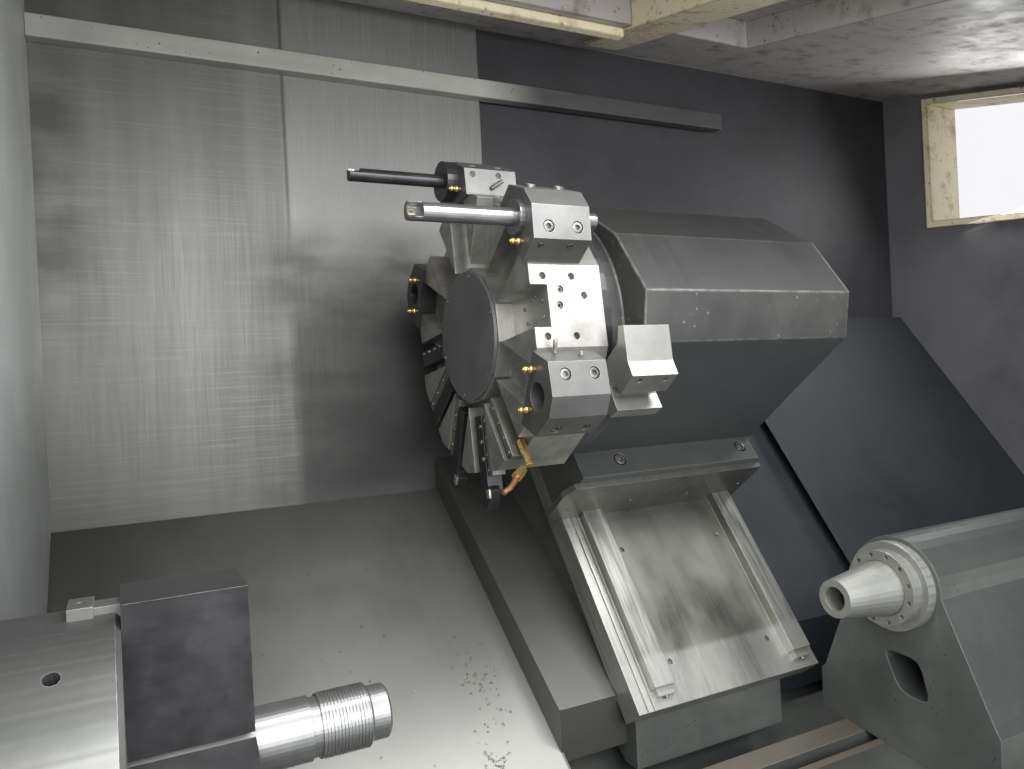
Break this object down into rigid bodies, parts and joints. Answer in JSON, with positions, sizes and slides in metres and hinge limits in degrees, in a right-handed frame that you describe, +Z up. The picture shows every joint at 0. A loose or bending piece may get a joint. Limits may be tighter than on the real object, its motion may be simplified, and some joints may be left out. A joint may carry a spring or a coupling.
{
  "type": "cnc turning lathe",
  "caption": "Slant-bed turning lathe with a jawed chuck, an indexing tool turret on a cross slide, a tailstock and an enclosed cabinet with sliding doors.",
  "frame": {"origin": "floor level under the middle of the machine's length and depth", "axes": "+X along the spindle from the chuck towards the tailstock, +Y towards the back of the machine, +Z up"},
  "size_m": [4.05, 2, 2.6],
  "materials": {
    "cast_green": "matt dark green-grey paint over casting",
    "ground_steel": "ground bright steel",
    "brushed_steel": "worn brushed sheet steel",
    "dark_sheet": "dark stained sheet",
    "black_oxide": "blackened steel, half gloss",
    "turned_steel": "turned bright steel",
    "brass": "plain brass",
    "cabinet_paint": "smooth off-white paint",
    "frame_paint": "smooth dark grey paint",
    "window_glass": "clear glass",
    "cream_paint": "cream paint, stained"
  },
  "bodies": {
    "frame_body": {"bed_casting": "cast_green", "upper_bed_rail": "ground_steel", "lower_bed_rail": "ground_steel", "headstock_wall": "brushed_steel", "back_wall_panel": "brushed_steel", "back_wall_recess": "dark_sheet", "back_wall_ledge": "brushed_steel", "right_wall": "dark_sheet", "side_window_frame": "cream_paint", "side_window_pane": "window_glass", "roof_panel": "dark_sheet", "roof_rail": "cream_paint", "roof_box_beam": "cream_paint", "fixed_left_cover": "brushed_steel", "fixed_right_cover": "dark_sheet", "front_chip_apron": "brushed_steel", "headstock_cabinet": "cabinet_paint", "tailstock_cabinet": "cabinet_paint", "rear_cover": "cabinet_paint", "front_frame": "cabinet_paint", "operator_pendant": "frame_paint", "headstock_casting": "cast_green"},
    "left_door_body": {"left_door": "cabinet_paint", "left_door_window": "window_glass"},
    "right_door_body": {"right_door": "cabinet_paint", "right_door_window": "window_glass"},
    "spindle": {"spindle_shaft": "turned_steel", "chuck_body": "turned_steel", "workpiece_shaft": "turned_steel"},
    "jaw_1": {"master_jaw_1": "turned_steel", "soft_jaw_1": "black_oxide"},
    "jaw_2": {"master_jaw_2": "turned_steel", "soft_jaw_2": "black_oxide"},
    "jaw_3": {"master_jaw_3": "turned_steel", "soft_jaw_3": "black_oxide"},
    "saddle": {"saddle_casting": "cast_green", "slideway_plate": "ground_steel", "left_moving_cover": "brushed_steel", "right_moving_cover": "dark_sheet"},
    "cross_slide_body": {"cross_slide": "cast_green", "slide_wiper": "ground_steel", "turret_housing": "cast_green", "turret_flange_ring": "black_oxide", "coolant_bracket": "ground_steel"},
    "turret": {"turret_disc": "ground_steel", "turret_cover": "dark_sheet", "lower_bore_holder": "ground_steel", "upper_bore_holder": "ground_steel", "dark_bore_holder": "black_oxide", "rear_bore_holder": "ground_steel", "black_boring_bar": "black_oxide", "bright_boring_bar": "turned_steel", "turning_tool_1": "black_oxide", "turning_tool_2": "black_oxide", "tool_clamp_1": "black_oxide", "tool_clamp_2": "black_oxide", "coolant_fitting": "brass"},
    "tailstock": {"tailstock_casting": "cast_green", "quill_ring": "turned_steel"},
    "quill_body": {"quill": "turned_steel"}
  },
  "joints": [
    {"name": "left_door_slide", "type": "slide", "parent": "frame_body", "child": "left_door_body", "axis": [1, 0, 0], "range_m": [0, 0.969]},
    {"name": "right_door_slide", "type": "slide", "parent": "frame_body", "child": "right_door_body", "axis": [1, 0, 0], "range_m": [-0.969, 0]},
    {"name": "spindle_turn", "type": "hinge", "parent": "frame_body", "child": "spindle", "pos_m": [-0.9, -0.326, 1.1], "axis": [1, 0, 0], "continuous": true},
    {"name": "jaw_1_slide", "type": "slide", "parent": "spindle", "child": "jaw_1", "axis": [0, 0, 1], "range_m": [0, 0.008]},
    {"name": "jaw_2_slide", "type": "slide", "parent": "spindle", "child": "jaw_2", "axis": [0, -0.866, -0.5], "range_m": [0, 0.008]},
    {"name": "jaw_3_slide", "type": "slide", "parent": "spindle", "child": "jaw_3", "axis": [0, 0.866, -0.5], "range_m": [0, 0.008]},
    {"name": "saddle_slide", "type": "slide", "parent": "frame_body", "child": "saddle", "axis": [1, 0, 0], "range_m": [-0.5, 0.29]},
    {"name": "cross_slide_travel", "type": "slide", "parent": "saddle", "child": "cross_slide_body", "axis": [0, -0.6018, -0.7986], "range_m": [-0.12, 0.3]},
    {"name": "turret_turn", "type": "hinge", "parent": "cross_slide_body", "child": "turret", "pos_m": [-0.1307, 0.0838, 1.6439], "axis": [1, 0, 0], "continuous": true},
    {"name": "tailstock_slide", "type": "slide", "parent": "frame_body", "child": "tailstock", "axis": [1, 0, 0], "range_m": [-0.42, 0.45]},
    {"name": "quill_slide", "type": "slide", "parent": "tailstock", "child": "quill_body", "axis": [-1, 0, 0], "range_m": [0, 0.12]}
  ],
  "couplings": [
    {"joint": "jaw_2_slide", "follows": "jaw_1_slide", "ratio": 1},
    {"joint": "jaw_3_slide", "follows": "jaw_1_slide", "ratio": 1}
  ]
}
